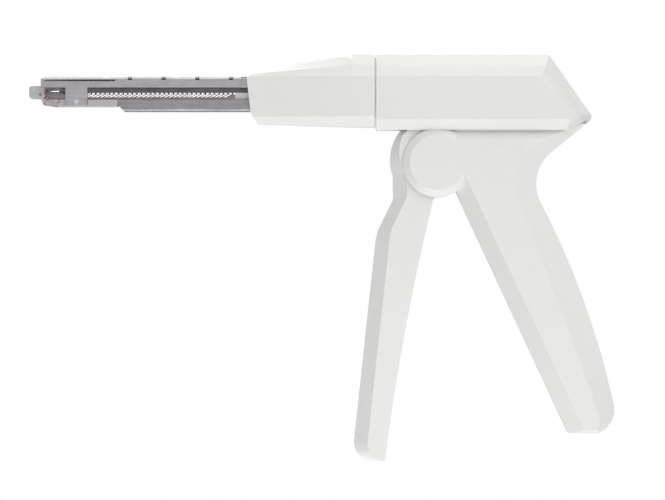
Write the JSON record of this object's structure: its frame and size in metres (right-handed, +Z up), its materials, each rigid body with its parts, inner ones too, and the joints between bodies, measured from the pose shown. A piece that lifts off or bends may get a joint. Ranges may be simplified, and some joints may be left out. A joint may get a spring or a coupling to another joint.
{
  "type": "skin stapler",
  "caption": "Hand-held skin stapler: pistol housing with a squeeze trigger, and a slim steel staple arm in a head that turns about the barrel axis.",
  "frame": {"origin": "staple exit: the working tip on the barrel axis, in the middle of the arm", "axes": "+X runs back along the barrel axis from the tip to the hand, +Z is up from the trigger to the barrel, +Y is to the right of the person holding it as seen along the view from behind the left side"},
  "size_m": [0.1867, 0.022, 0.1297],
  "materials": {
    "housing_plastic": "fine matt moulding, white",
    "trigger_plastic": "fine matt moulding, white",
    "slide_plastic": "smooth natural moulding",
    "sheet_steel": "rolled stainless sheet",
    "bright_steel": "drawn bright steel",
    "spring_steel": "drawn spring wire and strip",
    "staple_wire": "bright drawn wire"
  },
  "bodies": {
    "housing": {"body_shell_left": "housing_plastic", "body_shell_right": "housing_plastic", "pivot_pin": "bright_steel", "drag_washer": "spring_steel", "trigger_return_spring": "spring_steel"},
    "trigger": {"trigger": "trigger_plastic"},
    "slide": {"drive_slide": "slide_plastic"},
    "head": {"nose_shell_left": "housing_plastic", "nose_shell_right": "housing_plastic", "top_rail": "sheet_steel", "arm_channel": "sheet_steel", "head_frame": "sheet_steel", "anvil_rail": "sheet_steel", "arm_rivets": "bright_steel", "staple_row": "staple_wire", "chambered_staple": "staple_wire", "pusher_spring": "spring_steel"},
    "driver": {"driver_rod": "bright_steel", "driver_strip": "bright_steel"},
    "pusher": {"staple_pusher": "slide_plastic"}
  },
  "joints": [
    {"name": "trigger_squeeze", "type": "hinge", "parent": "housing", "child": "trigger", "pos_m": [0.1302, 0, -0.0219], "axis": [0, -1, 0], "range_deg": [0, 22], "stiffness_Nm_per_rad": 1, "springref_deg": -8.59, "deforming": ["trigger_return_spring"]},
    {"name": "drive_slide_travel", "type": "slide", "parent": "housing", "child": "slide", "axis": [-1, 0, 0], "range_m": [0, 0.0084]},
    {"name": "head_turn", "type": "hinge", "parent": "housing", "child": "head", "pos_m": [0.1105, 0, 0], "axis": [1, 0, 0], "continuous": true},
    {"name": "driver_travel", "type": "slide", "parent": "head", "child": "driver", "axis": [-1, 0, 0], "range_m": [0, 0.0084], "deforming": ["chambered_staple"]},
    {"name": "pusher_feed", "type": "slide", "parent": "head", "child": "pusher", "axis": [-1, 0, 0], "range_m": [0, 0.045], "deforming": ["staple_row", "pusher_spring"]}
  ],
  "couplings": [
    {"joint": "drive_slide_travel", "follows": "trigger_squeeze", "m_per_rad": 0.021865},
    {"joint": "driver_travel", "follows": "trigger_squeeze", "m_per_rad": 0.021865}
  ]
}
